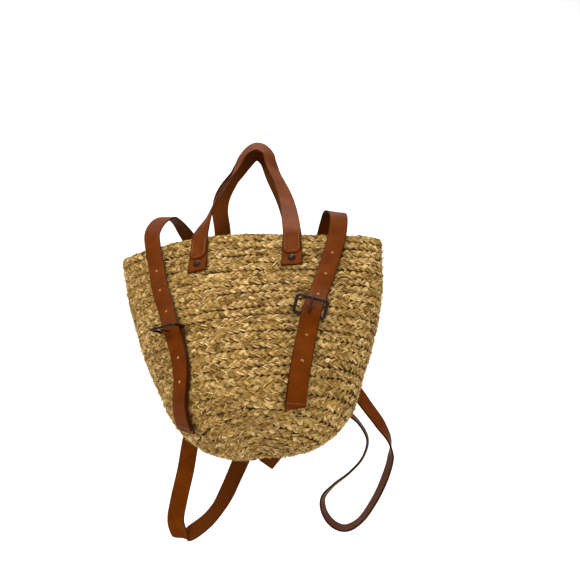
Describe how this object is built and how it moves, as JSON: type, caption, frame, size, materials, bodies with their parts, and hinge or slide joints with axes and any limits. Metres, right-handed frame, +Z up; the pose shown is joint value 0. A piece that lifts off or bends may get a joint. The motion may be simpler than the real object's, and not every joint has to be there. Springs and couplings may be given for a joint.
{
  "type": "woven straw backpack",
  "caption": "Round bag of coiled straw braid with leather handles, buckled belts over the mouth and shoulder straps, hanging empty by its handles.",
  "frame": {"origin": "the point that both handles hang on", "axes": "+Z up, -Y towards the front of the bag, +X to the right as seen from the front"},
  "size_m": [0.372, 0.2284, 0.5518],
  "materials": {
    "straw": "rough braided straw",
    "leather": "smooth tan leather",
    "bronze": "dark antique bronze"
  },
  "bodies": {
    "root": {"basket": "straw", "front_handle": "leather", "rear_handle": "leather", "left_belt": "leather", "right_belt": "leather", "left_buckle_strap": "leather", "right_buckle_strap": "leather", "left_buckle": "bronze", "right_buckle": "bronze", "left_buckle_prong": "bronze", "right_buckle_prong": "bronze", "front_handle_left_rivet": "bronze", "front_handle_right_rivet": "bronze", "rear_handle_left_rivet": "bronze", "rear_handle_right_rivet": "bronze", "left_shoulder_strap": "leather", "right_shoulder_strap": "leather", "left_rear_strap": "leather", "right_rear_strap": "leather", "left_rear_buckle": "bronze", "right_rear_buckle": "bronze", "left_rear_prong": "bronze", "right_rear_prong": "bronze", "left_upper_rivet": "bronze", "right_upper_rivet": "bronze", "left_lower_rivet": "bronze", "right_lower_rivet": "bronze"}
  },
  "joints": []
}
